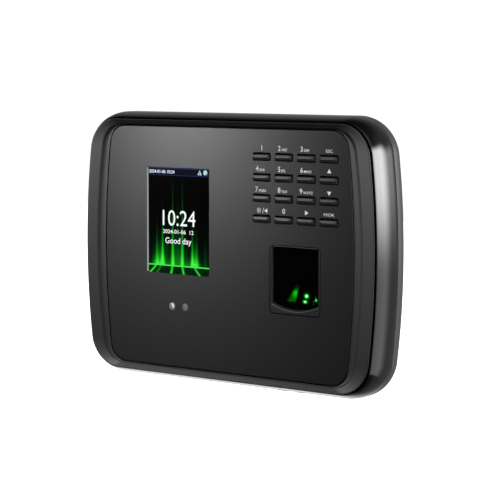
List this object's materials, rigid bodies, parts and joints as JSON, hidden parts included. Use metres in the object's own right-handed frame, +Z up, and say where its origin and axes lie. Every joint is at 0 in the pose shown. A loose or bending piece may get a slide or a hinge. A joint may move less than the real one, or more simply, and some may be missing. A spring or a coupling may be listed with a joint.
{
  "type": "fingerprint scanner terminal",
  "caption": "Wall-mounted fingerprint scanner terminal with colour display, numeric keypad and optical finger sensor in a bowed black case on a steel wall plate.",
  "frame": {"origin": "centre of the four wall-screw holes, on the wall plate's back face, straight behind the centre of the front panel", "axes": "+X to the viewer's right, +Y into the wall, +Z up; the front faces -Y"},
  "size_m": [0.199, 0.0297, 0.145],
  "materials": {
    "panel": "fine matt charcoal texture",
    "bezel": "satin black",
    "shell": "glossy black",
    "cover": "satin black, fine grain on the back",
    "plate_steel": "zinc plated sheet",
    "screw_steel": "plated",
    "clear_window": "clear, polished",
    "display": "lit display, white clock on black with green lines",
    "white_plastic": "moulded nylon",
    "ribbon": "polyimide film",
    "silicone": "translucent white silicone",
    "circuit_board": "green solder mask",
    "sensor_frame": "matt charcoal",
    "prism_glass": "dark optical glass, lit green from inside",
    "black_plastic": "matt black",
    "green_lamp": "lit green lamp",
    "lens_glass": "coated lens",
    "frosted_lens": "frosted light pipe",
    "lamp_body": "unlit surface-mount lamp",
    "tin": "tin plate",
    "chip": "moulded epoxy",
    "cell_steel": "nickel plate",
    "relay_case": "blue moulded case",
    "capacitor_can": "aluminium can",
    "terminal_green": "green moulded nylon",
    "key": "satin dark grey",
    "button_white": "white moulded plastic"
  },
  "bodies": {
    "housing": {"front_panel": "panel", "front_bezel": "bezel", "side_shell": "shell", "rear_cover": "cover", "wall_plate": "plate_steel", "locking_screw": "screw_steel", "case_screws": "screw_steel", "board_screws": "screw_steel", "module_screws": "screw_steel", "screen_window": "clear_window", "lcd_glass": "display", "lcd_backlight": "white_plastic", "lcd_bracket": "plate_steel", "lcd_flex": "ribbon", "keypad_mat": "silicone", "keypad_board": "circuit_board", "keypad_flex": "ribbon", "sensor_surround": "sensor_frame", "sensor_prism": "prism_glass", "sensor_housing": "black_plastic", "sensor_leds": "green_lamp", "sensor_lens": "lens_glass", "sensor_board": "circuit_board", "sensor_flex": "ribbon", "status_lens_clear": "clear_window", "status_lens_frosted": "frosted_lens", "status_leds": "lamp_body", "indicator_board": "circuit_board", "main_board": "circuit_board", "shield_can": "tin", "processor": "chip", "ribbon_connectors": "white_plastic", "coin_cell_holder": "black_plastic", "coin_cell": "cell_steel", "relay": "relay_case", "capacitors": "capacitor_can", "terminal_blocks": "terminal_green", "network_header": "white_plastic", "usb_port": "tin", "speaker": "black_plastic", "push_switches": "black_plastic"},
    "usb_cover": {"usb_cover": "shell"},
    "tamper_button": {"tamper_button": "button_white"},
    "reset_button": {"reset_button": "button_white"},
    "key_1": {"key_1": "key"},
    "key_2": {"key_2": "key"},
    "key_3": {"key_3": "key"},
    "key_esc": {"key_esc": "key"},
    "key_4": {"key_4": "key"},
    "key_5": {"key_5": "key"},
    "key_6": {"key_6": "key"},
    "key_up": {"key_up": "key"},
    "key_7": {"key_7": "key"},
    "key_8": {"key_8": "key"},
    "key_9": {"key_9": "key"},
    "key_down": {"key_down": "key"},
    "key_left": {"key_left": "key"},
    "key_0": {"key_0": "key"},
    "key_right": {"key_right": "key"},
    "key_ok": {"key_ok": "key"}
  },
  "joints": [
    {"name": "key_1_press", "type": "slide", "parent": "housing", "child": "key_1", "axis": [0, 1, 0], "range_m": [0, 0.0008], "stiffness_N_per_m": 900},
    {"name": "key_2_press", "type": "slide", "parent": "housing", "child": "key_2", "axis": [0, 1, 0], "range_m": [0, 0.0008], "stiffness_N_per_m": 900},
    {"name": "key_3_press", "type": "slide", "parent": "housing", "child": "key_3", "axis": [0, 1, 0], "range_m": [0, 0.0008], "stiffness_N_per_m": 900},
    {"name": "key_esc_press", "type": "slide", "parent": "housing", "child": "key_esc", "axis": [0, 1, 0], "range_m": [0, 0.0008], "stiffness_N_per_m": 900},
    {"name": "key_4_press", "type": "slide", "parent": "housing", "child": "key_4", "axis": [0, 1, 0], "range_m": [0, 0.0008], "stiffness_N_per_m": 900},
    {"name": "key_5_press", "type": "slide", "parent": "housing", "child": "key_5", "axis": [0, 1, 0], "range_m": [0, 0.0008], "stiffness_N_per_m": 900},
    {"name": "key_6_press", "type": "slide", "parent": "housing", "child": "key_6", "axis": [0, 1, 0], "range_m": [0, 0.0008], "stiffness_N_per_m": 900},
    {"name": "key_up_press", "type": "slide", "parent": "housing", "child": "key_up", "axis": [0, 1, 0], "range_m": [0, 0.0008], "stiffness_N_per_m": 900},
    {"name": "key_7_press", "type": "slide", "parent": "housing", "child": "key_7", "axis": [0, 1, 0], "range_m": [0, 0.0008], "stiffness_N_per_m": 900},
    {"name": "key_8_press", "type": "slide", "parent": "housing", "child": "key_8", "axis": [0, 1, 0], "range_m": [0, 0.0008], "stiffness_N_per_m": 900},
    {"name": "key_9_press", "type": "slide", "parent": "housing", "child": "key_9", "axis": [0, 1, 0], "range_m": [0, 0.0008], "stiffness_N_per_m": 900},
    {"name": "key_down_press", "type": "slide", "parent": "housing", "child": "key_down", "axis": [0, 1, 0], "range_m": [0, 0.0008], "stiffness_N_per_m": 900},
    {"name": "key_left_press", "type": "slide", "parent": "housing", "child": "key_left", "axis": [0, 1, 0], "range_m": [0, 0.0008], "stiffness_N_per_m": 900},
    {"name": "key_0_press", "type": "slide", "parent": "housing", "child": "key_0", "axis": [0, 1, 0], "range_m": [0, 0.0008], "stiffness_N_per_m": 900},
    {"name": "key_right_press", "type": "slide", "parent": "housing", "child": "key_right", "axis": [0, 1, 0], "range_m": [0, 0.0008], "stiffness_N_per_m": 900},
    {"name": "key_ok_press", "type": "slide", "parent": "housing", "child": "key_ok", "axis": [0, 1, 0], "range_m": [0, 0.0008], "stiffness_N_per_m": 900},
    {"name": "usb_cover_hinge", "type": "hinge", "parent": "housing", "child": "usb_cover", "pos_m": [0.04, -0.01505, -0.0715], "axis": [1, 0, 0], "range_deg": [0, 100]},
    {"name": "tamper_button_press", "type": "slide", "parent": "housing", "child": "tamper_button", "axis": [0, -1, 0], "range_m": [0, 0.001], "stiffness_N_per_m": 300, "springref_m": -0.0015},
    {"name": "reset_button_press", "type": "slide", "parent": "housing", "child": "reset_button", "axis": [0, -1, 0], "range_m": [0, 0.0005], "stiffness_N_per_m": 900}
  ]
}
